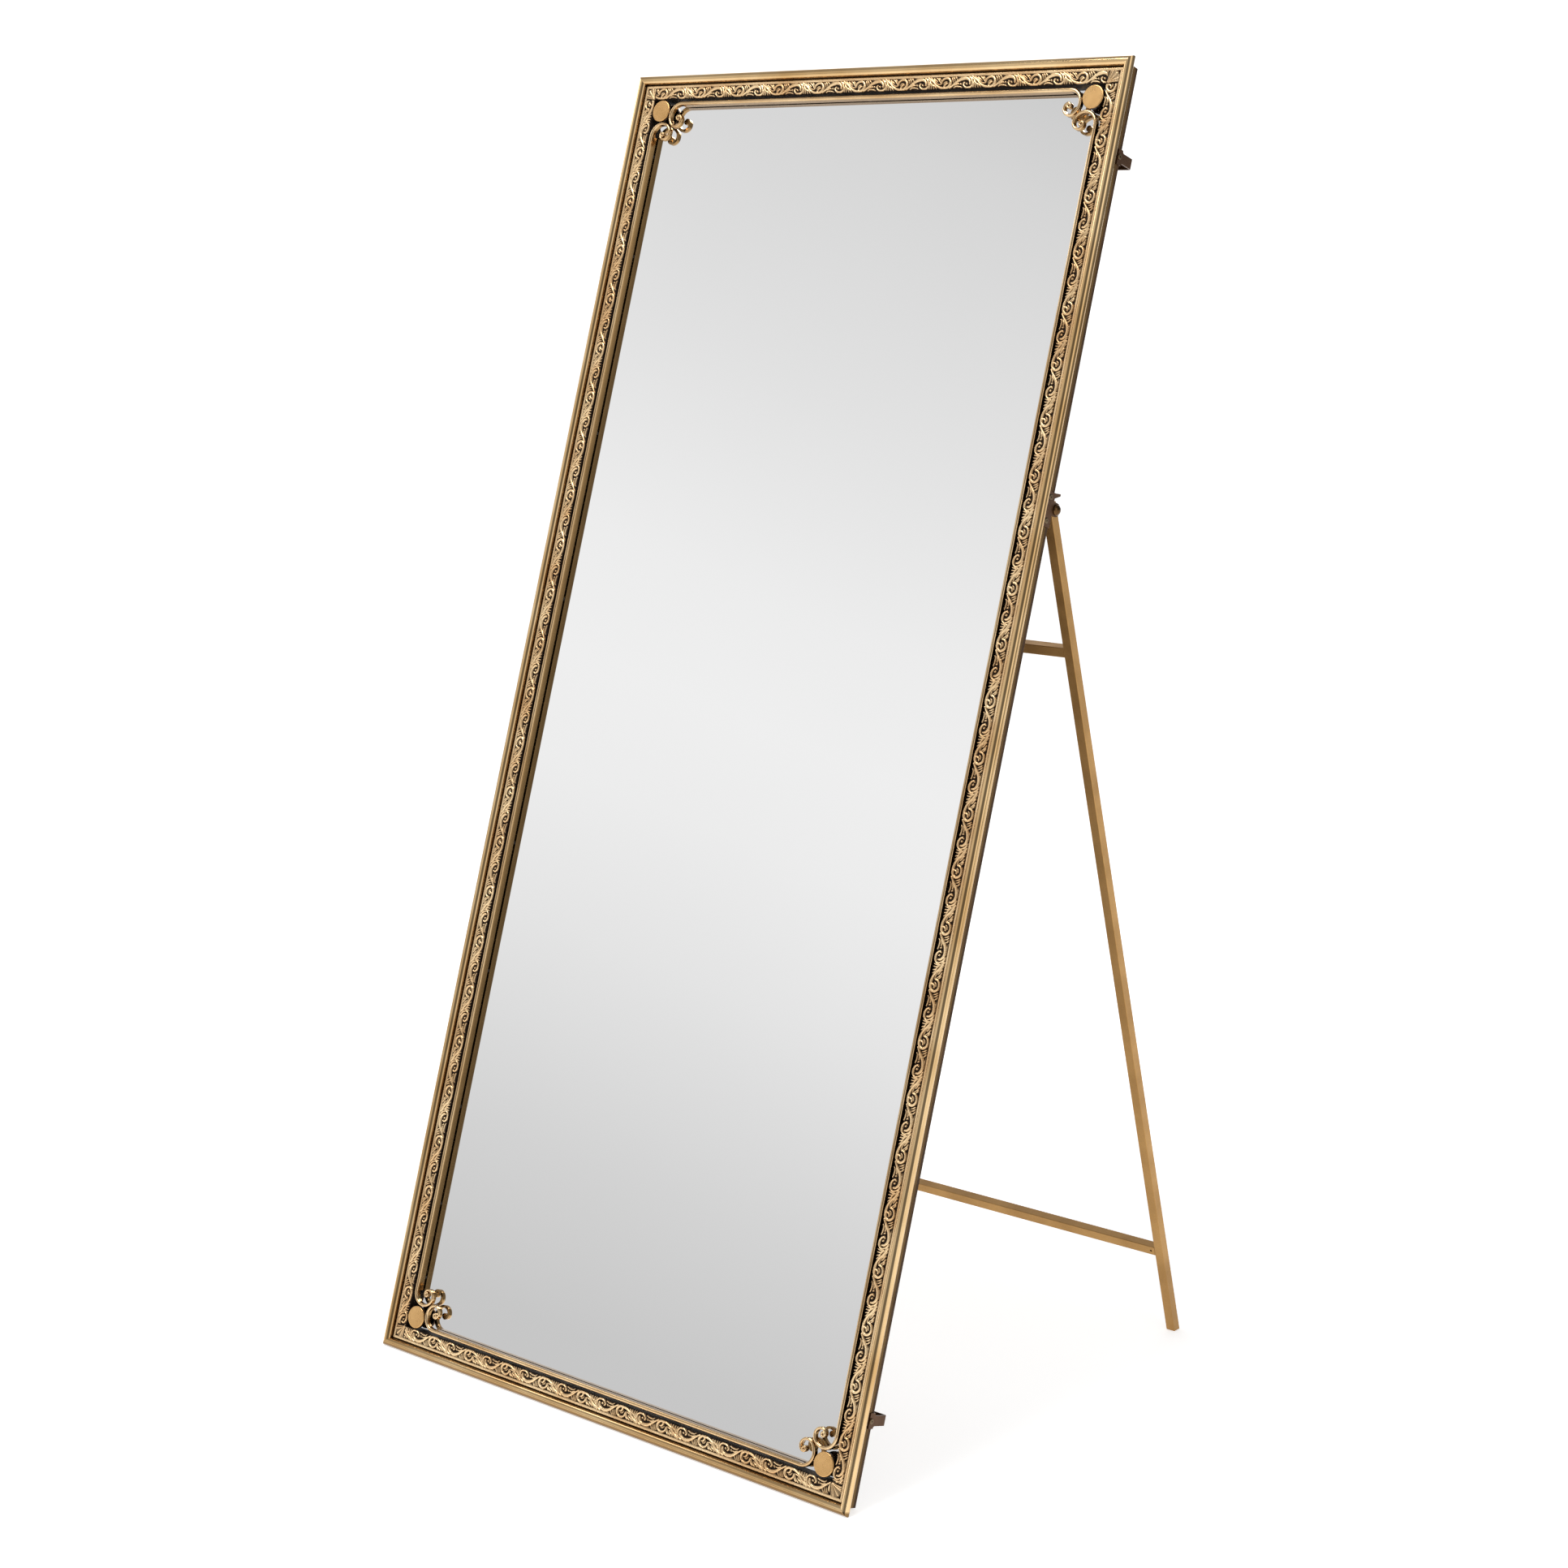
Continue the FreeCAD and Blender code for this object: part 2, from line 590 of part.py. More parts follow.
def report(parts, pivot, middle):
    """Prints the pivot, the origin's shift, the overall box and a line for each part."""
    whole = Part.makeCompound(list(parts.values())).optimalBoundingBox(False, False)
    print(f"pivot {pivot.x:.3f} {pivot.y:.3f} {pivot.z:.3f}  shift {middle:.3f}")
    print(f"least {whole.XMin:.2f} {whole.YMin:.2f} {whole.ZMin:.2f}")
    print(f"most {whole.XMax:.2f} {whole.YMax:.2f} {whole.ZMax:.2f}")
    for name, shape in parts.items():
        volume = shape.Volume / 1000
        print(f"{name:32s} solids {len(shape.Solids)}  valid {shape.isValid()}  cm3 {volume:.2f}")


main()
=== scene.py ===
"""Looks of a leaning floor mirror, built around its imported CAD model."""

import json
import math

import bpy
import numpy as np
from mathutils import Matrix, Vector


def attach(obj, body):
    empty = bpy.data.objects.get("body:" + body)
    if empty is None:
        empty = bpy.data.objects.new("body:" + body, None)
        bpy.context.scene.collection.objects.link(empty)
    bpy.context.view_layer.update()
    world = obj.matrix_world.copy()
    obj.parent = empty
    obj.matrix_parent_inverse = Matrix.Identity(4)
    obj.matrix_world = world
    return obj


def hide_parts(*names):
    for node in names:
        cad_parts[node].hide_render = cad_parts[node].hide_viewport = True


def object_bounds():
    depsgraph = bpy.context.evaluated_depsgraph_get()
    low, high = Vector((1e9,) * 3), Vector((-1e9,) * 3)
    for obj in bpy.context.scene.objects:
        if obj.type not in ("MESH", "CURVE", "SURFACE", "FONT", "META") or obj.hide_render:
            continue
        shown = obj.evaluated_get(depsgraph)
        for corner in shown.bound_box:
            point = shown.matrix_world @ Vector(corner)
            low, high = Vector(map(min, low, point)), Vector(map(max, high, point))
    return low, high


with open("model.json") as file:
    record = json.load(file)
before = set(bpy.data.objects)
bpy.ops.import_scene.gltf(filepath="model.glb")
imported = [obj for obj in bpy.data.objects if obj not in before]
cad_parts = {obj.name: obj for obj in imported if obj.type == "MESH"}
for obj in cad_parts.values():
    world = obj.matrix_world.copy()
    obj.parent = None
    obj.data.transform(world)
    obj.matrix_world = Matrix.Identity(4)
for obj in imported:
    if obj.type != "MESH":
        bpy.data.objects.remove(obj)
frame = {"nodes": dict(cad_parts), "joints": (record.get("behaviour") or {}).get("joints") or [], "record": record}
cad_low, cad_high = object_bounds()

# ---------------------------------------------------------------- sizes shared with the CAD, in mm
MM = 0.001
WIDTH, HEIGHT = 810.0, 1780.0
LEAN = math.radians(17.7)
PIVOT = Vector(frame["joints"][0]["pos_m"])
PIVOT_U, PIVOT_N = 1225.0, 30.2
SIDES = ("bottom", "top", "left", "right")

LIP_A, RELIEF_A0, RELIEF_A1, BAND_A = 13.2, 17.2, 32.8, 33.0
BAND_REAR = 3.5
MOULDING_R = 6.0
BAR_A, BAR_T, BAR_TIP_T = 39.2, 5.0, 2.8
BAR_N0, BAR_N1, SCROLL_N1, BAR_START = -0.5, 10.5, 6.2, 84.6
SCROLL_RADII = (17.3, 16.8, 17.6, 10.6, 9.6, 8.6, 7.2, 4.9, 3.6, 2.9, 2.4)
EYE_R, EYE_HOLE_R = 3.9, 0.9


def frame_to_world(x, n, u):
    """Metres in the CAD frame for points of the leaning mirror: x across, n behind its face, u up it, mm."""
    x, n, u = np.broadcast_arrays(np.asarray(x, float), n, u)
    back, up = n - PIVOT_N, u - PIVOT_U
    y = back * math.cos(LEAN) + up * math.sin(LEAN)
    z = up * math.cos(LEAN) - back * math.sin(LEAN)
    return np.stack([x * MM, y * MM + PIVOT.y, z * MM + PIVOT.z], -1)


def side_to_world(side, along, inset, n):
    """The same for points of one side: along it, anticlockwise, and inset from the outer edge."""
    along, inset, n = np.broadcast_arrays(np.asarray(along, float), inset, n)
    if side == "bottom":
        return frame_to_world(along, n, inset)
    if side == "top":
        return frame_to_world(-along, n, HEIGHT - inset)
    if side == "left":
        return frame_to_world(-WIDTH / 2 + inset, n, HEIGHT / 2 - along)
    return frame_to_world(WIDTH / 2 - inset, n, HEIGHT / 2 + along)


def side_length(side):
    return WIDTH if side in ("bottom", "top") else HEIGHT


# ---------------------------------------------------------------- node materials
def linear(r, g, b):
    """Linear colour from 0..255 display values."""
    parts = [v / 255 for v in (r, g, b)]
    return tuple(v / 12.92 if v <= 0.04045 else ((v + 0.055) / 1.055) ** 2.4 for v in parts) + (1.0,)


def colour_mix(tree):
    """A new Mix node for colours, with its two colour inputs and its colour output."""
    node = tree.nodes.new("ShaderNodeMix")
    node.data_type = "RGBA"
    sockets = [next(s for s in node.inputs if s.name == name and s.type == "RGBA") for name in ("A", "B")]
    return node, sockets, next(s for s in node.outputs if s.type == "RGBA")


class Nodes:
    """A short way to build one material's node tree."""

    def __init__(self, name):
        self.material = bpy.data.materials.new(name)
        self.material.use_nodes = True
        self.tree = self.material.node_tree
        self.shader = self.tree.nodes["Principled BSDF"]
        self.coords = self.tree.nodes.new("ShaderNodeTexCoord").outputs["Object"]

    def link(self, a, b):
        self.tree.links.new(a, b)

    def noise(self, scale, detail=3.0, rough=0.5):
        node = self.tree.nodes.new("ShaderNodeTexNoise")
        node.inputs["Scale"].default_value = scale
        node.inputs["Detail"].default_value = detail
        node.inputs["Roughness"].default_value = rough
        self.link(self.coords, node.inputs["Vector"])
        return node.outputs["Fac"]

    def spread(self, value, low, high, to_low=0.0, to_high=1.0):
        node = self.tree.nodes.new("ShaderNodeMapRange")
        node.inputs["From Min"].default_value = low
        node.inputs["From Max"].default_value = high
        node.inputs["To Min"].default_value = to_low
        node.inputs["To Max"].default_value = to_high
        self.link(value, node.inputs["Value"])
        return node.outputs["Result"]

    def mix(self, factor, a, b):
        node, sockets, result = colour_mix(self.tree)
        self.link(factor, node.inputs["Factor"])
        for socket, value in zip(sockets, (a, b)):
            if isinstance(value, tuple):
                socket.default_value = value
            else:
                self.link(value, socket)
        return result

    def attribute(self, name):
        node = self.tree.nodes.new("ShaderNodeAttribute")
        node.attribute_name = name
        return node.outputs["Fac"]

    def math(self, kind, a, b=0.0):
        node = self.tree.nodes.new("ShaderNodeMath")
        node.operation = kind
        for socket, value in zip(node.inputs, (a, b)):
            if isinstance(value, float):
                socket.default_value = value
            else:
                self.link(value, socket)
        return node.outputs["Value"]

    def measure(self, direction, at_pivot):
        """Distance in mm along a direction of the CAD frame, counted so that the pivot reads at_pivot."""
        direction = Vector(direction)
        node = self.tree.nodes.new("ShaderNodeVectorMath")
        node.operation = "DOT_PRODUCT"
        node.inputs[1].default_value = direction / MM
        self.link(self.coords, node.inputs[0])
        return self.math("ADD", node.outputs["Value"], at_pivot - direction.dot(PIVOT) / MM)

    def depth(self):
        return self.measure((0, math.cos(LEAN), -math.sin(LEAN)), PIVOT_N)

    def up(self):
        return self.measure((0, math.sin(LEAN), math.cos(LEAN)), PIVOT_U)

    def inset(self):
        """How far in from the frame's outer edge, in mm."""
        up = self.up()
        across = self.math("ABSOLUTE", self.measure((1, 0, 0), 0.0))
        from_side = self.math("SUBTRACT", WIDTH / 2, across)
        from_end = self.math("MINIMUM", up, self.math("SUBTRACT", HEIGHT, up))
        return self.math("MINIMUM", from_side, from_end)

    def bump(self, height, strength, distance):
        node = self.tree.nodes.new("ShaderNodeBump")
        node.inputs["Strength"].default_value = strength
        node.inputs["Distance"].default_value = distance
        self.link(height, node.inputs["Height"])
        self.link(node.outputs["Normal"], self.shader.inputs["Normal"])

    def finish(self, colour, roughness, metallic, specular=0.5):
        self.link(colour, self.shader.inputs["Base Color"])
        self.shader.inputs["Specular IOR Level"].default_value = specular
        if isinstance(roughness, float):
            self.shader.inputs["Roughness"].default_value = roughness
        else:
            self.link(roughness, self.shader.inputs["Roughness"])
        self.shader.inputs["Metallic"].default_value = metallic
        return self.material


def mottled(name, light, dark, rough=(0.3, 0.42), metallic=1.0, patch=25.0, grain=900.0, bump=0.08,
            shades=(), speckle=0.22, specular=0.5):
    """A finish of patchy tone, fine grain and uneven gloss: metal, paint, board or plastic.

    Each of shades is (what, start, end, colour), a painted shade: the tone turns to colour as what goes from start
    to end, in mm, where what is the frame's depth, inset or up."""
    m = Nodes(name)
    tone = m.mix(m.spread(m.noise(patch, 4.0), 0.35, 0.65), linear(*dark), linear(*light))
    for what, start, end, colour in shades:
        place = {"depth": m.depth, "inset": m.inset, "up": m.up}[what]()
        tone = m.mix(m.spread(place, start, end), tone, linear(*colour))
    fine = m.noise(grain, 2.0, 0.6)
    tone = m.mix(m.spread(fine, 0.35, 0.7, 0.0, speckle), tone, linear(*[v * 0.6 for v in dark]))
    m.bump(fine, bump, 0.0002)
    return m.finish(tone, m.spread(m.noise(patch * 2.5, 3.0), 0.3, 0.7, *rough), metallic, specular)


def aged_brass(name, light, mid, deep):
    """Embossed brass with dark patina left in the recesses; the mesh says how high each point stands."""
    m = Nodes(name)
    height = m.attribute("height")
    base = m.mix(m.spread(m.noise(18.0, 3.0), 0.35, 0.65), linear(*mid), linear(*light))
    worn = m.mix(m.spread(height, 0.12, 0.8), linear(*deep), base)
    spots = m.spread(m.noise(1400.0, 3.0, 0.65), 0.42, 0.72, 0.0, 0.35)
    tone = m.mix(spots, worn, linear(*deep))
    m.bump(m.noise(1100.0, 3.0), 0.12, 0.0002)
    return m.finish(tone, m.spread(height, 0.2, 0.8, 0.6, 0.24), 0.75)


MATERIALS = {
    # the moulding's shades are painted shade: darker in the groove beside the band from 10.4 mm in, and darker
    # below 7 mm up on the bottom tube's underside
    "moulding_metal": mottled(
        "moulding_brass", (226, 194, 146), (198, 160, 108), (0.06, 0.11), patch=9.0, grain=1200.0, bump=0.05,
        shades=[("inset", 10.4, 12.4, (92, 62, 36)), ("up", 7.0, 4.0, (128, 100, 64))], speckle=0.1),
    "embossed_metal": aged_brass("embossed_brass", (255, 224, 176), (226, 184, 132), (34, 20, 10)),
    # the rail paint turns near-black from 20 mm in: painted shade on the rails' inner walls down beside the glass
    "rail_wood": mottled(
        "rail_paint", (122, 94, 52), (100, 74, 38), (0.45, 0.6), 0.35, patch=14.0, grain=700.0, bump=0.15,
        shades=[("inset", 20.0, 24.0, (26, 19, 12))], specular=0.15),
    # the bars darken from 0.3 mm to 3.2 mm behind their front: painted shade on their flanks
    "scroll_metal": mottled(
        "scroll_brass", (228, 198, 154), (198, 162, 116), (0.14, 0.22), patch=12.0, grain=1200.0, bump=0.05,
        shades=[("depth", 0.3, 3.2, (164, 130, 84))]),
    # the discs turn near-black from 0.9 mm behind their faces: painted shade on their rims
    "disc_metal": mottled(
        "disc_brass", (216, 173, 115), (198, 154, 97), (0.24, 0.32), 0.9, bump=0.04,
        shades=[("depth", 0.9, 1.6, (44, 30, 18))], speckle=0.05),
    "grey_board": mottled(
        "backing_board", (96, 94, 90), (80, 78, 74), (0.8, 0.95), 0.0, patch=40.0, grain=500.0, bump=0.2),
    "panel_board": mottled(
        "rear_board", (84, 60, 37), (68, 48, 30), (0.6, 0.75), 0.0, patch=30.0, grain=800.0, bump=0.25,
        specular=0.2),
    # near-black: painted shade for the posts hidden between the bars, the discs and the glass
    "post_metal": mottled("post_painted_shade", (30, 22, 14), (22, 16, 10), (0.5, 0.7), 0.3),
    "screw_steel": mottled("screw_steel", (124, 106, 82), (98, 82, 62), (0.34, 0.48)),
    "bracket_metal": mottled("bracket_paint", (96, 64, 36), (74, 48, 26), (0.35, 0.5), 0.6),
    "bolt_steel": mottled("bolt_steel", (150, 144, 136), (118, 112, 104), (0.3, 0.45)),
    "cap_nut_metal": mottled("cap_nut_metal", (110, 82, 52), (84, 60, 36), (0.16, 0.26)),
    "stand_metal": mottled(
        "stand_paint", (196, 152, 92), (176, 134, 78), (0.36, 0.48), 0.75, patch=16.0, grain=1100.0,
        bump=0.12),
    "plug_plastic": mottled("plug_plastic", (48, 42, 36), (34, 30, 26), (0.45, 0.6), 0.0),
}


def mirror_material():
    """Silvered glass: nearly perfect, with the faintest unevenness of tone and gloss."""
    m = Nodes("mirror_silver")
    tone = m.mix(m.noise(2.0, 2.0), linear(242, 242, 242), linear(245, 245, 245))
    return m.finish(tone, m.spread(m.noise(6.0, 2.0), 0.3, 0.7, 0.004, 0.012), 1.0)


MATERIALS["mirror"] = mirror_material()

node_slots = {row["node"]: row["material_slot"] for row in frame["record"]["subparts"]}


def paint(obj, slot):
    obj.data.materials.clear()
    obj.data.materials.append(MATERIALS[slot])


# ---------------------------------------------------------------- meshes
def add_piece(name, verts, faces, body, slot, replaced=(), heights=None, flat=0):
    """A mesh from quads, smooth but for the last flat of them, painted and put in its place."""
    mesh = bpy.data.meshes.new(name)
    verts = np.asarray(verts, np.float32).reshape(-1, 3)
    faces = np.asarray(faces, np.int32)
    mesh.vertices.add(len(verts))
    mesh.vertices.foreach_set("co", verts.ravel())
    mesh.loops.add(faces.size)
    mesh.loops.foreach_set("vertex_index", faces.ravel())
    mesh.polygons.add(len(faces))
    mesh.polygons.foreach_set("loop_start", np.arange(len(faces), dtype=np.int32) * faces.shape[1])
    mesh.update(calc_edges=True)
    smooth = np.ones(len(faces), bool)
    smooth[len(faces) - flat:] = False
    mesh.polygons.foreach_set("use_smooth", smooth)
    mesh.validate()
    if heights is not None:
        mesh.attributes.new("height", "FLOAT", "POINT").data.foreach_set("value", heights.astype(np.float32))
    obj = bpy.data.objects.new(name, mesh)
    bpy.context.scene.collection.objects.link(obj)
    paint(obj, slot)
    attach(obj, body)
    if replaced:
        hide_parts(*replaced)
    return obj


def sharpen_ends(piece, rows, count):
    """Marks the outlines of the two ends of a piece swept through count rings as sharp."""
    edges = np.empty(len(piece.data.edges) * 2, np.int32)
    piece.data.edges.foreach_get("vertices", edges)
    ring = edges.reshape(-1, 2) // rows
    sharp = (ring[:, 0] == ring[:, 1]) & ((ring[:, 0] == 0) | (ring[:, 0] == count - 1))
    piece.data.attributes.new("sharp_edge", "BOOLEAN", "EDGE").data.foreach_set("value", sharp)


def cap_quads(outline):
    """Quads across one end of a closed outline, from its first half to its second."""
    rows = len(outline)
    pairs = [(outline[k], outline[rows - 1 - k]) for k in range(rows // 2)]
    return [[near, next_near, next_far, far] for (near, far), (next_near, next_far) in zip(pairs, pairs[1:])]


# ---------------------------------------------------------------- embossed band
# One repeat of the running scroll, in mm: distance along it and distance in from the band's lip.
# A stroke is its points, its half widths at start, middle and end, its height, and whether it is grooved.
REPEAT = 69.3
RELIEF_W = RELIEF_A1 - RELIEF_A0
STROKES = [
    # long stem running down into the small volute, round its foot and over its crown
    ([(-1.5, 0.6), (6.8, 6.0), (12.4, 10.6), (18.0, 13.4), (24.5, 14.6), (30.2, 14.0), (33.9, 10.6),
      (34.3, 6.8), (31.8, 3.2), (27.8, 1.7), (23.6, 2.4), (20.6, 5.2), (19.9, 8.6)],
     (0.9, 1.35, 0.9), 1.0, True),
    # leaf inside the small volute
    ([(25.6, 13.4), (26.0, 10.8), (27.8, 8.6), (30.0, 8.4)], (0.8, 1.2, 0.8), 0.95, False),
    ([(23.4, 9.2), (25.4, 6.8), (28.4, 6.2)], (0.5, 0.8, 0.5), 0.7, False),
    # broad arch of the large volute
    ([(34.2, 14.6), (39.0, 11.2), (44.0, 7.2), (49.6, 3.8), (55.8, 2.4), (61.2, 3.6), (64.8, 7.0),
      (65.3, 10.2)], (0.7, 1.75, 0.9), 1.0, True),
    # outer strand that hooks round it and curls up underneath
    ([(62.2, 0.6), (66.4, 3.4), (69.0, 7.8), (69.2, 11.6), (66.0, 14.4), (60.8, 14.7), (56.9, 12.8),
      (55.2, 9.8), (56.4, 8.2)], (0.7, 1.15, 0.9), 0.95, False),
    # ribs of the leaf where the long stem starts
    ([(-5.2, 0.5), (1.0, 4.6), (5.4, 8.8)], (0.5, 0.6, 0.4), 0.8, False),
    ([(2.2, 0.5), (7.4, 3.9), (12.8, 8.0)], (0.5, 0.7, 0.4), 0.85, False),
    # curled leaflets above the long stem
    ([(7.6, 1.6), (8.8, 3.0), (11.6, 4.4), (13.8, 6.4)], (0.8, 0.8, 0.5), 0.9, False),
    ([(11.4, 1.2), (13.8, 2.6), (16.4, 4.9), (18.4, 7.6)], (0.7, 0.75, 0.5), 0.85, False),
    ([(15.4, 1.6), (17.4, 2.8), (18.6, 4.6)], (0.8, 0.8, 0.5), 0.85, False),
    ([(13.4, 8.4), (16.0, 9.4), (19.0, 9.9)], (0.5, 0.7, 0.5), 0.8, False),
    # fan of leaflets under the start of the stem
    ([(1.8, 6.6), (2.4, 10.4), (1.6, 14.6)], (0.6, 0.8, 0.5), 0.9, False),
    ([(3.0, 7.4), (5.0, 10.8), (5.0, 14.8)], (0.5, 0.8, 0.5), 0.9, False),
    ([(4.4, 8.0), (8.0, 11.4), (9.2, 14.8)], (0.5, 0.8, 0.5), 0.9, False),
    ([(7.4, 9.6), (11.4, 12.6), (13.4, 15.0)], (0.4, 0.7, 0.4), 0.8, False),
    # tuft between the small volute and the arch
    ([(35.6, 1.4), (37.4, 4.0), (38.6, 7.4)], (0.6, 0.8, 0.4), 0.9, False),
    ([(38.0, 0.8), (40.2, 3.4), (41.0, 6.2)], (0.6, 0.8, 0.4), 0.9, False),
    ([(41.0, 0.6), (43.2, 2.4), (44.6, 4.6)], (0.6, 0.8, 0.4), 0.85, False),
    ([(45.6, 0.7), (50.0, 0.7), (55.0, 0.6)], (0.3, 0.5, 0.3), 0.6, False),
    # leaflets and berries under the arch
    ([(40.6, 14.8), (43.6, 13.0), (49.2, 13.2), (53.4, 14.4)], (0.4, 0.85, 0.5), 0.85, False),
    ([(41.6, 11.6), (45.4, 9.6), (48.6, 9.8)], (0.5, 0.9, 0.6), 0.85, False),
    ([(50.6, 9.2), (51.4, 10.4)], (0.8, 0.9, 0.8), 0.8, False),
    ([(59.6, 9.4), (60.4, 10.2)], (0.9, 1.0, 0.9), 0.9, False),
]
# where one of the hooks reaches furthest on each side, in mm along it, clockwise from its middle
PHASE = {"top": -38.6, "right": -326.4, "left": -631.6, "bottom": 10.9}
TILE_STEP = 0.2
# how much wider than drawn the strokes are raised, and a groove's depth and half width as shares of a stroke
MAIN_SPREAD, LEAF_SPREAD = 1.55, 1.4
GROOVE_DEPTH, GROOVE_HALF = 0.16, 0.28
# the blur's spread and its reach, in tile steps
SOFTEN_STEPS, SOFTEN_REACH = 1.2, 3


def smooth_curve(points, steps=14):
    """A Catmull-Rom curve through points."""
    p = np.array(points, float)
    p = np.vstack([2 * p[0] - p[1], p, 2 * p[-1] - p[-2]])
    t = np.linspace(0, 1, steps, endpoint=False)[:, None]
    out = []
    for a, b, c, d in zip(p[:-3], p[1:-2], p[2:-1], p[3:]):
        bend, twist = 2 * a - 5 * b + 4 * c - d, 3 * b - a - 3 * c + d
        out.append(0.5 * (2 * b + (c - a) * t + bend * t**2 + twist * t**3))
    out.append(p[-2:-1])
    return np.vstack(out)


def raise_stroke(field, grid_s, grid_t, points, widths, height, grooved, period=None):
    """Lifts the field to a rounded ridge along one stroke."""
    line = smooth_curve(points)
    share = np.linspace(0, 1, len(line))
    half = np.interp(share, (0, 0.5, 1), widths)
    best = np.full(field.shape, -1.0)
    for (s, t), w in zip(line, half):
        ds = grid_s - s
        if period:
            ds = (ds + period / 2) % period - period / 2
        d = np.sqrt(ds**2 + (grid_t - t) ** 2) / w
        dome = np.sqrt(np.clip(1 - d**2, 0, None))
        if grooved:
            dome = dome - GROOVE_DEPTH * np.exp(-((d / GROOVE_HALF) ** 2))
        best = np.maximum(best, dome)
    np.maximum(field, best * height, out=field)


def soften(field):
    """A light blur, round and round along the repeat, so that no ridge ends in a step."""
    kernel = np.exp(-(np.arange(-SOFTEN_REACH, SOFTEN_REACH + 1) ** 2) / (2 * SOFTEN_STEPS**2))
    kernel /= kernel.sum()
    along = sum(k * np.roll(field, i - SOFTEN_REACH, 0) for i, k in enumerate(kernel))
    padded = np.pad(along, ((0, 0), (SOFTEN_REACH, SOFTEN_REACH)), "edge")
    return sum(k * padded[:, i:i + field.shape[1]] for i, k in enumerate(kernel))


def relief_tile():
    s = np.arange(0, REPEAT, REPEAT / round(REPEAT / TILE_STEP))
    t = np.arange(0, RELIEF_W + TILE_STEP / 2, TILE_STEP)
    grid_s, grid_t = np.meshgrid(s, t, indexing="ij")
    field = np.zeros(grid_s.shape)
    for points, widths, height, grooved in STROKES:
        spread = MAIN_SPREAD if grooved else LEAF_SPREAD
        raise_stroke(field, grid_s, grid_t, points, np.array(widths) * spread, height, grooved, REPEAT)
    return soften(field)


TILE = relief_tile()


def sample_tile(s, t):
    """The relief's height, 0 to 1, at distances s along and t in, smoothly between samples."""
    rows, cols = TILE.shape
    fs = (s % REPEAT) / REPEAT * rows
    ft = np.clip(t / TILE_STEP, 0, cols - 1.001)
    i, j = fs.astype(int) % rows, ft.astype(int)
    ws, wt = fs - np.floor(fs), ft - j
    k = (i + 1) % rows
    low = TILE[i, j] * (1 - ws) + TILE[k, j] * ws
    high = TILE[i, j + 1] * (1 - ws) + TILE[k, j + 1] * ws
    return low * (1 - wt) + high * wt


# the leaf's veins as angles off the mitre and half widths, in radians, and how they bend and widen
VEINS = ((0.0, 0.085), (0.27, 0.08), (0.53, 0.075))
VEIN_BEND, VEIN_STRAIGHT_R, VEIN_ROOT = 0.012, 6.0, 0.25
# the leaf's half angle and the soft edge inside it, and the height of its pad and of the veins on it
LEAF_ANGLE, LEAF_EDGE, PAD_HEIGHT, VEIN_HEIGHT = 0.72, 0.15, 0.35, 0.4
# how far the leaf reaches and fades, in mm from the inner corner
LEAF_R, LEAF_FADE, LEAF_START, LEAF_RISE = 21.0, 3.0, 0.5, 1.5
CORNER_GAP, LEAF_BLEND = 0.5, 2.0


def corner_leaf(along, inset):
    """A leaf on the mitre, the same on both sides of it: veins that spread from the inner corner outward.

    along is the distance from the outer corner, so along = inset on the mitre."""
    p, q = RELIEF_A1 + CORNER_GAP - along, RELIEF_A1 + CORNER_GAP - inset
    r = np.hypot(p, q)
    angle = np.abs(np.arctan2(q, p) - math.pi / 4)
    leaf = np.zeros(along.shape)
    for centre, half in VEINS:
        bend = centre + VEIN_BEND * (r - VEIN_STRAIGHT_R) * (centre > 0)
        off = (angle - bend) / (half + VEIN_ROOT / (r + 1))
        leaf = np.maximum(leaf, np.sqrt(np.clip(1 - off**2, 0, None)))
    pad = np.clip((LEAF_ANGLE - angle) / LEAF_EDGE, 0, 1)
    leaf = (PAD_HEIGHT + VEIN_HEIGHT * leaf) * pad
    return leaf * np.clip((LEAF_R - r) / LEAF_FADE, 0, 1) * np.clip((r - LEAF_START) / LEAF_RISE, 0, 1)


def band_height(side, along, inset):
    """Relief height, 0 to 1, on one side of the frame."""
    s = -along - PHASE[side]
    t = inset - RELIEF_A0
    running = sample_tile(s, t)
    from_corner = side_length(side) / 2 - np.abs(along)
    leaf = corner_leaf(from_corner, inset)
    near = np.clip((RELIEF_A1 + LEAF_BLEND - from_corner) / LEAF_BLEND, 0, 1)
    return np.maximum(running * (1 - near), leaf * near)


# the plain lip's outline, as inset and depth
LIP_ROWS = [(LIP_A, BAND_REAR), (LIP_A, 1.5), (13.35, 1.05), (13.8, 0.78), (14.6, 0.66), (15.8, 0.68),
            (16.6, 0.9), (17.0, 1.35)]
GROUND_N, PEAK_N, INNER_EDGE_DROP = 1.75, -1.3, 0.3
# how worn the lip and its inner foot look, on the relief's scale of 0 to 1
LIP_WEAR, LIP_FOOT_WEAR = 0.85, 0.35
END_ZONE = 45.0
ALONG_STEP, ACROSS_STEP = 0.47, 0.4


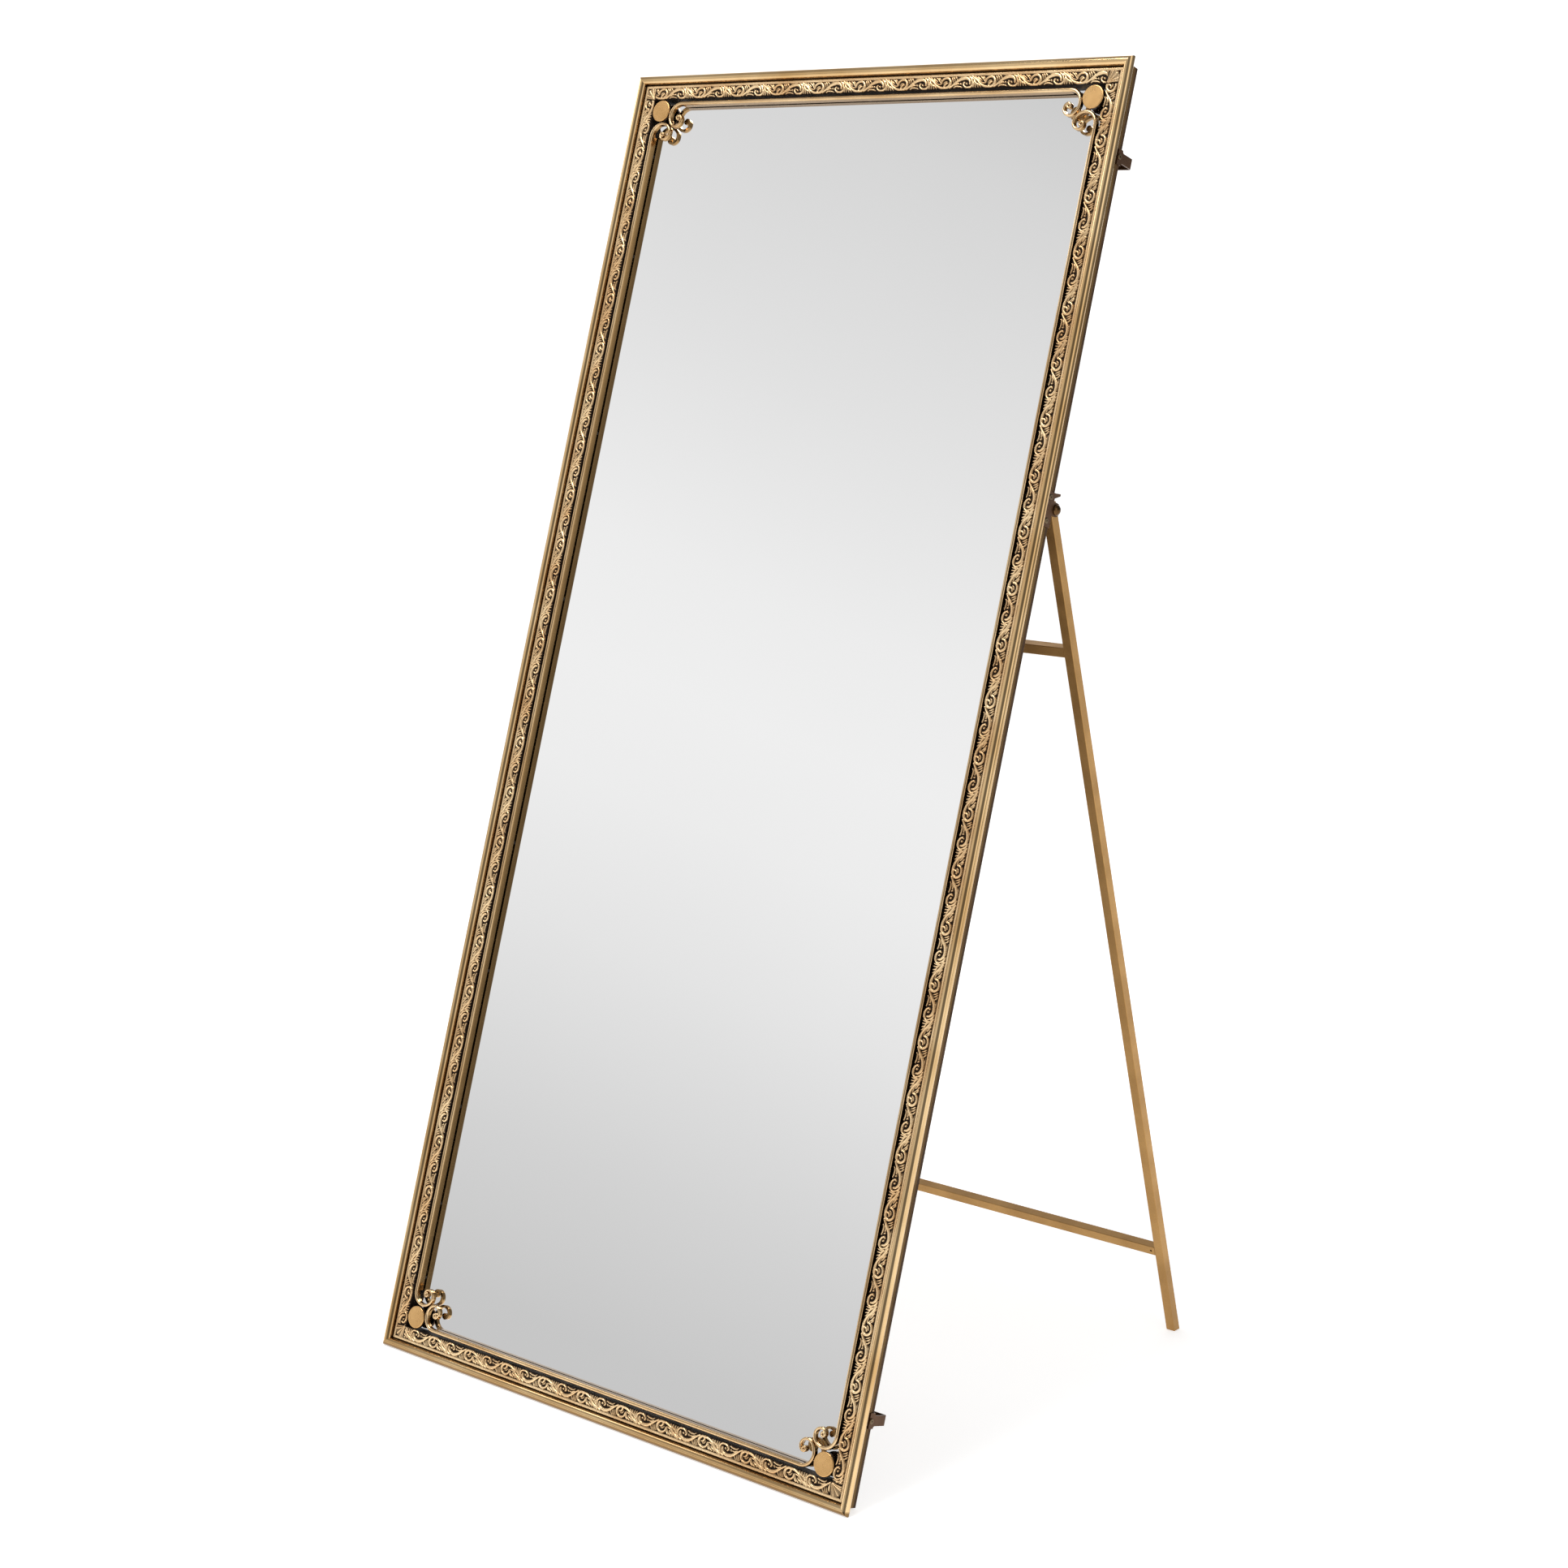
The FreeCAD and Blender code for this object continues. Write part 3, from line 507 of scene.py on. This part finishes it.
def make_band(side, part, start, stop):
    """A closed strip of band between two shares of a side's length, 0 to 1, mitred at the corners."""
    length = side_length(side)
    columns = int(round(length * (stop - start) / ALONG_STEP)) + 1
    straight = np.linspace(start - 0.5, stop - 0.5, columns) * length
    insets = [a for a, _ in LIP_ROWS]
    depths = [n for _, n in LIP_ROWS]
    relief_rows = np.linspace(RELIEF_A0, RELIEF_A1, int(round(RELIEF_W / ACROSS_STEP)) + 1)
    a = np.concatenate([insets, relief_rows, [BAND_A, BAND_A]])
    grid_a = np.repeat(a[None, :], columns, 0)
    # the columns lean over towards the mitre within the end zones
    share = np.clip((np.abs(straight) - (length / 2 - END_ZONE)) / END_ZONE, 0, 1)
    grid_x = straight[:, None] - np.sign(straight)[:, None] * share[:, None] * grid_a
    first, last = len(insets), len(insets) + len(relief_rows)
    height = np.zeros(grid_a.shape)
    height[:, first:last] = band_height(side, grid_x[:, first:last], grid_a[:, first:last])
    n = np.zeros(grid_a.shape)
    n[:, :first] = np.array(depths)[None, :]
    n[:, first:last] = GROUND_N + (PEAK_N - GROUND_N) * height[:, first:last]
    n[:, last] = GROUND_N + INNER_EDGE_DROP
    n[:, last + 1] = BAND_REAR
    height[:, :first] = LIP_WEAR
    height[:, first - 1] = LIP_FOOT_WEAR
    height[:, 0] = 0.0
    height[:, last:] = 0.0
    points = side_to_world(side, grid_x, grid_a, n)
    rows = a.size
    index = np.arange(columns * rows).reshape(columns, rows)
    ring = np.concatenate([index, index[:, :1]], 1)
    quads = np.stack([ring[:-1, :-1], ring[1:, :-1], ring[1:, 1:], ring[:-1, 1:]], -1).reshape(-1, 4)
    caps = cap_quads(index[0]) + [quad[::-1] for quad in cap_quads(index[-1])]
    faces = np.vstack([quads, np.array(caps, np.int32)])
    node = f"embossed_band_{side}"
    piece = add_piece(f"{node}_{part}", points, faces, "frame", "embossed_metal", (node,), height.ravel(),
                      len(caps))
    sharpen_ends(piece, rows, columns)


for band_side in SIDES:
    if band_side in ("left", "right"):
        make_band(band_side, "a", 0.0, 0.5)
        make_band(band_side, "b", 0.5, 1.0)
    else:
        make_band(band_side, "face", 0.0, 1.0)


# ---------------------------------------------------------------- inner bars with scrolled ends
ARC_TURN, ARC_STEPS = math.radians(45.0), 9
FRONT_STEPS, EYE_STEPS, STRAIGHT_STEPS = 15, 32, 12
SHARP_ANGLE = math.radians(50)
# over this length the deep straight bar steps back to the depth of its scroll
STEP_LENGTH = 0.1


def scroll_path(length):
    """Points (x, inset), headings and half thicknesses along the scroll at a bar's -x end, out to its tip."""
    x, a, heading = -length / 2 + BAR_START, BAR_A, math.pi
    arcs = [(x, a, heading, 0.0)]
    run = 0.0
    turn = ARC_TURN / ARC_STEPS
    for radius in SCROLL_RADII:
        chord = 2 * radius * math.sin(turn / 2)
        for _ in range(ARC_STEPS):
            x += chord * math.cos(heading - turn / 2)
            a += chord * math.sin(heading - turn / 2)
            heading -= turn
            run += radius * turn
            arcs.append((x, a, heading, run))
    arcs = np.array(arcs)
    half = (BAR_T + (BAR_TIP_T - BAR_T) * arcs[:, 3] / run) / 2
    return arcs[:, 0], arcs[:, 1], arcs[:, 2], half


def bar_section(half, rear):
    """Offsets across the bar and depths: straight flanks, with a full round front."""
    turn = np.linspace(math.pi, 0, FRONT_STEPS)
    across = np.concatenate([[-half], half * np.cos(turn), [half]])
    depth = np.concatenate([[rear], BAR_N0 + half * (1 - np.sin(turn)), [rear]])
    return across, depth


def tube_faces(count, rows, first, closed):
    """Quads between rings of points; an open tube gets quads across both ends."""
    index = first + np.arange(count * rows).reshape(count, rows)
    ring = np.concatenate([index, index[:, :1]], 1)
    if closed:
        ring = np.concatenate([ring, ring[:1]], 0)
    quads = np.stack([ring[:-1, :-1], ring[:-1, 1:], ring[1:, 1:], ring[1:, :-1]], -1).reshape(-1, 4)
    if closed:
        return quads
    caps = [quad[::-1] for quad in cap_quads(index[0])] + cap_quads(index[-1])
    return np.vstack([quads, np.array(caps, np.int32)])


def swept_section(x, a, heading, half, rear):
    """Rings of points (x, inset, depth) of a bar of changing width and depth along a path."""
    rings = []
    for px, pa, ph, w, behind in zip(x, a, heading, half, rear):
        across, depth = bar_section(w, behind)
        rings.append(np.stack([px - math.sin(ph) * across, pa + math.cos(ph) * across, depth], -1))
    return np.array(rings)


def make_bar_piece(side):
    """One bar, deeper between its two scrolled ends, each closed by a ring round the eye."""
    x, a, heading, half = scroll_path(side_length(side))
    eye_x = x[-1] + math.sin(heading[-1]) * SCROLL_RADII[-1]
    eye_a = a[-1] - math.cos(heading[-1]) * SCROLL_RADII[-1]
    step_x = x[0] + STEP_LENGTH
    straight = np.concatenate([np.linspace(0, step_x, STRAIGHT_STEPS), x[:1] + STEP_LENGTH * 0.5])
    flat = np.ones(len(straight))
    rear = np.concatenate([flat * BAR_N1, x * 0 + SCROLL_N1])
    rear[len(straight) - 1] = SCROLL_N1
    one = swept_section(
        np.concatenate([straight, x]),
        np.concatenate([flat * BAR_A, a]),
        np.concatenate([flat * math.pi, heading]),
        np.concatenate([flat * BAR_T / 2, half]),
        rear,
    )
    other = one[1:] * np.array([-1, 1, 1])
    solids = [(np.concatenate([other[::-1], one]), False)]
    turns = np.linspace(0, -2 * math.pi, EYE_STEPS, endpoint=False)
    middle_r, half_ring = (EYE_R + EYE_HOLE_R) / 2, (EYE_R - EYE_HOLE_R) / 2
    for centre in (eye_x, -eye_x):
        ring_x, ring_a = centre - middle_r * np.sin(turns), eye_a + middle_r * np.cos(turns)
        even = np.ones(len(turns))
        solids.append((swept_section(ring_x, ring_a, turns, even * half_ring, even * SCROLL_N1), True))
    points, faces, first = [], [], 0
    for rings, closed in solids:
        points.append(side_to_world(side, rings[..., 0], rings[..., 1], rings[..., 2]).reshape(-1, 3))
        faces.append(tube_faces(rings.shape[0], rings.shape[1], first, closed))
        first += rings.shape[0] * rings.shape[1]
    node = f"inner_bar_{side}"
    points, faces = np.vstack(points), np.vstack(faces)
    piece = add_piece(f"{node}_round", points, faces, "frame", "scroll_metal", (node,))
    piece.data.set_sharp_from_angle(angle=SHARP_ANGLE)


for bar_side in SIDES:
    make_bar_piece(bar_side)


# ---------------------------------------------------------------- round moulding
TUBE_STEPS = 56
# where the tube has a ring of points, from mitre to mitre: one close to each end keeps the shading even
TUBE_STATIONS = (-1, -0.97, -0.5, 0, 0.5, 0.97, 1)


def make_moulding_tube(side):
    """One length of the outer moulding, round and mitred."""
    turns = np.linspace(0, 2 * math.pi, TUBE_STEPS, endpoint=False)
    inset, n = MOULDING_R - MOULDING_R * np.cos(turns), MOULDING_R * np.sin(turns)
    stations = np.array(TUBE_STATIONS)[:, None]
    half_length = side_length(side) / 2 - inset[None, :]
    rings = side_to_world(side, stations * half_length, inset[None, :], n[None, :])
    faces = tube_faces(len(stations), len(turns), 0, False)
    node = f"moulding_{side}"
    piece = add_piece(f"{node}_tube", rings, faces, "frame", "moulding_metal", (node,), flat=TUBE_STEPS - 2)
    sharpen_ends(piece, TUBE_STEPS, len(stations))


for moulding_side in SIDES:
    make_moulding_tube(moulding_side)


# ---------------------------------------------------------------- finishes of the CAD pieces
for node, obj in frame["nodes"].items():
    if not obj.hide_render:
        paint(obj, node_slots[node])


# ---------------------------------------------------------------- stage, light and camera
LEVEL_SCALE = 4.0
FLOOR_GLOW, FLOOR_REACH = 0.62, 30.0
# grey levels by the sine of elevation, as shares of LEVEL_SCALE: the screen the mirror faces, and the room
SCREEN_LEVELS = [(0.0, 0.15), (0.07, 0.158), (0.125, 0.18), (0.2, 0.2165), (0.25, 0.234), (0.288, 0.239),
                 (0.33, 0.234), (0.40, 0.21), (0.48, 0.1855), (0.6, 0.12), (0.8, 0.11), (1.0, 0.09)]
ROOM_LEVELS = [(0.0, 0.05), (0.5, 0.045), (0.8, 0.075), (1.0, 0.075)]
# how much of the screen, and of the pale sheets, there is at each share of a full turn, which runs from
# straight behind, by way of the left, to straight behind again
SCREEN_TURN = [(0.0, 0), (0.20, 0), (0.25, 1), (0.41, 1), (0.422, 0)]
SHEET_TURN = [(0.0, 0.1), (0.04, 1), (0.355, 1), (0.42, 0.7), (0.46, 0.3), (0.495, 0.05), (0.58, 0.0),
              (0.635, 0.15), (0.665, 1), (0.71, 1), (0.74, 0.4), (0.78, 0.1), (0.84, 0)]
SHEET_LEVELS = [(0.0, 0.34), (0.5, 0.34), (0.7, 0.12), (1.0, 0.09)]

# each light: name, where it is, what it aims at, its width and height in m, its power in W
MIDDLE = (cad_low + cad_high) / 2
LOW_AIM = (0.0, -0.37, 0.0)
LIGHTS = [("key", (-0.6, -1.6, 4.6), MIDDLE, (2.2, 1.6), 110),
          ("low", (-2.0, -0.2, 2.4), LOW_AIM, (0.8, 0.6), 3.2)]

CAMERA_AT = (2.3178, -2.7674, 1.5010)
CAMERA_TILT, CAMERA_TURN = math.radians(90 - 11.388), math.radians(39.994)
SENSOR_MM, LENS_MM = 36.0, 64.23


def make_floor():
    """A plain pale floor that glows a little, so that it shows as white."""
    mesh = bpy.data.meshes.new("floor")
    corners = [(x * FLOOR_REACH, y * FLOOR_REACH, 0) for x, y in ((-1, -1), (1, -1), (1, 1), (-1, 1))]
    mesh.from_pydata(corners, [], [(0, 1, 2, 3)])
    floor = bpy.data.objects.new("floor", mesh)
    bpy.context.scene.collection.objects.link(floor)
    m = Nodes("floor_paint")
    tone = m.mix(m.noise(1.5, 3.0), linear(246, 246, 245), linear(250, 250, 250))
    mesh.materials.append(m.finish(tone, 0.9, 0.0, 0.1))
    m.shader.inputs["Emission Color"].default_value = (1, 1, 1, 1)
    m.shader.inputs["Emission Strength"].default_value = FLOOR_GLOW


def ramp_of(tree, value, stops):
    """A grey level that follows value through (place, level) stops."""
    ramp = tree.nodes.new("ShaderNodeValToRGB")
    tree.links.new(value, ramp.inputs["Fac"])
    elements = ramp.color_ramp.elements
    while len(elements) < len(stops):
        elements.new(0.5)
    for element, (place, level) in zip(elements, stops):
        element.position = place
        element.color = (level, level, level, 1)
    return ramp.outputs["Color"]


def make_world():
    """A dim room with pale sheets round the left and at the front right, and a grey screen at the left."""
    world = bpy.data.worlds.new("studio")
    bpy.context.scene.world = world
    world.use_nodes = True
    tree = world.node_tree
    coords = tree.nodes.new("ShaderNodeTexCoord")
    split = tree.nodes.new("ShaderNodeSeparateXYZ")
    tree.links.new(coords.outputs["Generated"], split.inputs["Vector"])
    turn = tree.nodes.new("ShaderNodeMath")
    turn.operation = "ARCTAN2"
    front = tree.nodes.new("ShaderNodeMath")
    front.operation = "MULTIPLY"
    front.inputs[1].default_value = -1.0
    tree.links.new(split.outputs["Y"], front.inputs[0])
    tree.links.new(split.outputs["X"], turn.inputs[0])
    tree.links.new(front.outputs["Value"], turn.inputs[1])
    share = tree.nodes.new("ShaderNodeMapRange")
    share.inputs["From Min"].default_value = -math.pi
    share.inputs["From Max"].default_value = math.pi
    tree.links.new(turn.outputs["Value"], share.inputs["Value"])
    level = ramp_of(tree, split.outputs["Z"], ROOM_LEVELS)
    for turns, levels in ((SHEET_TURN, SHEET_LEVELS), (SCREEN_TURN, SCREEN_LEVELS)):
        mix, sockets, result = colour_mix(tree)
        tree.links.new(ramp_of(tree, share.outputs["Result"], turns), mix.inputs["Factor"])
        for socket, value in zip(sockets, (level, ramp_of(tree, split.outputs["Z"], levels))):
            tree.links.new(value, socket)
        level = result
    tree.links.new(level, tree.nodes["Background"].inputs["Color"])
    tree.nodes["Background"].inputs["Strength"].default_value = LEVEL_SCALE


def add_light(name, at, aim, size, power):
    data = bpy.data.lights.new(name, "AREA")
    data.shape = "RECTANGLE"
    data.size, data.size_y = size
    data.energy = power
    light = bpy.data.objects.new(name, data)
    bpy.context.scene.collection.objects.link(light)
    light.location = at
    light.rotation_euler = (Vector(aim) - Vector(at)).to_track_quat("-Z", "Y").to_euler()


def make_camera():
    data = bpy.data.cameras.new("camera")
    camera = bpy.data.objects.new("camera", data)
    bpy.context.scene.collection.objects.link(camera)
    camera.location = CAMERA_AT
    camera.rotation_euler = (CAMERA_TILT, 0, CAMERA_TURN)
    data.sensor_width = SENSOR_MM
    data.lens = LENS_MM
    bpy.context.scene.camera = camera


make_floor()
make_world()
for light_row in LIGHTS:
    add_light(*light_row)
make_camera()
bpy.context.scene.view_settings.view_transform = "Standard"
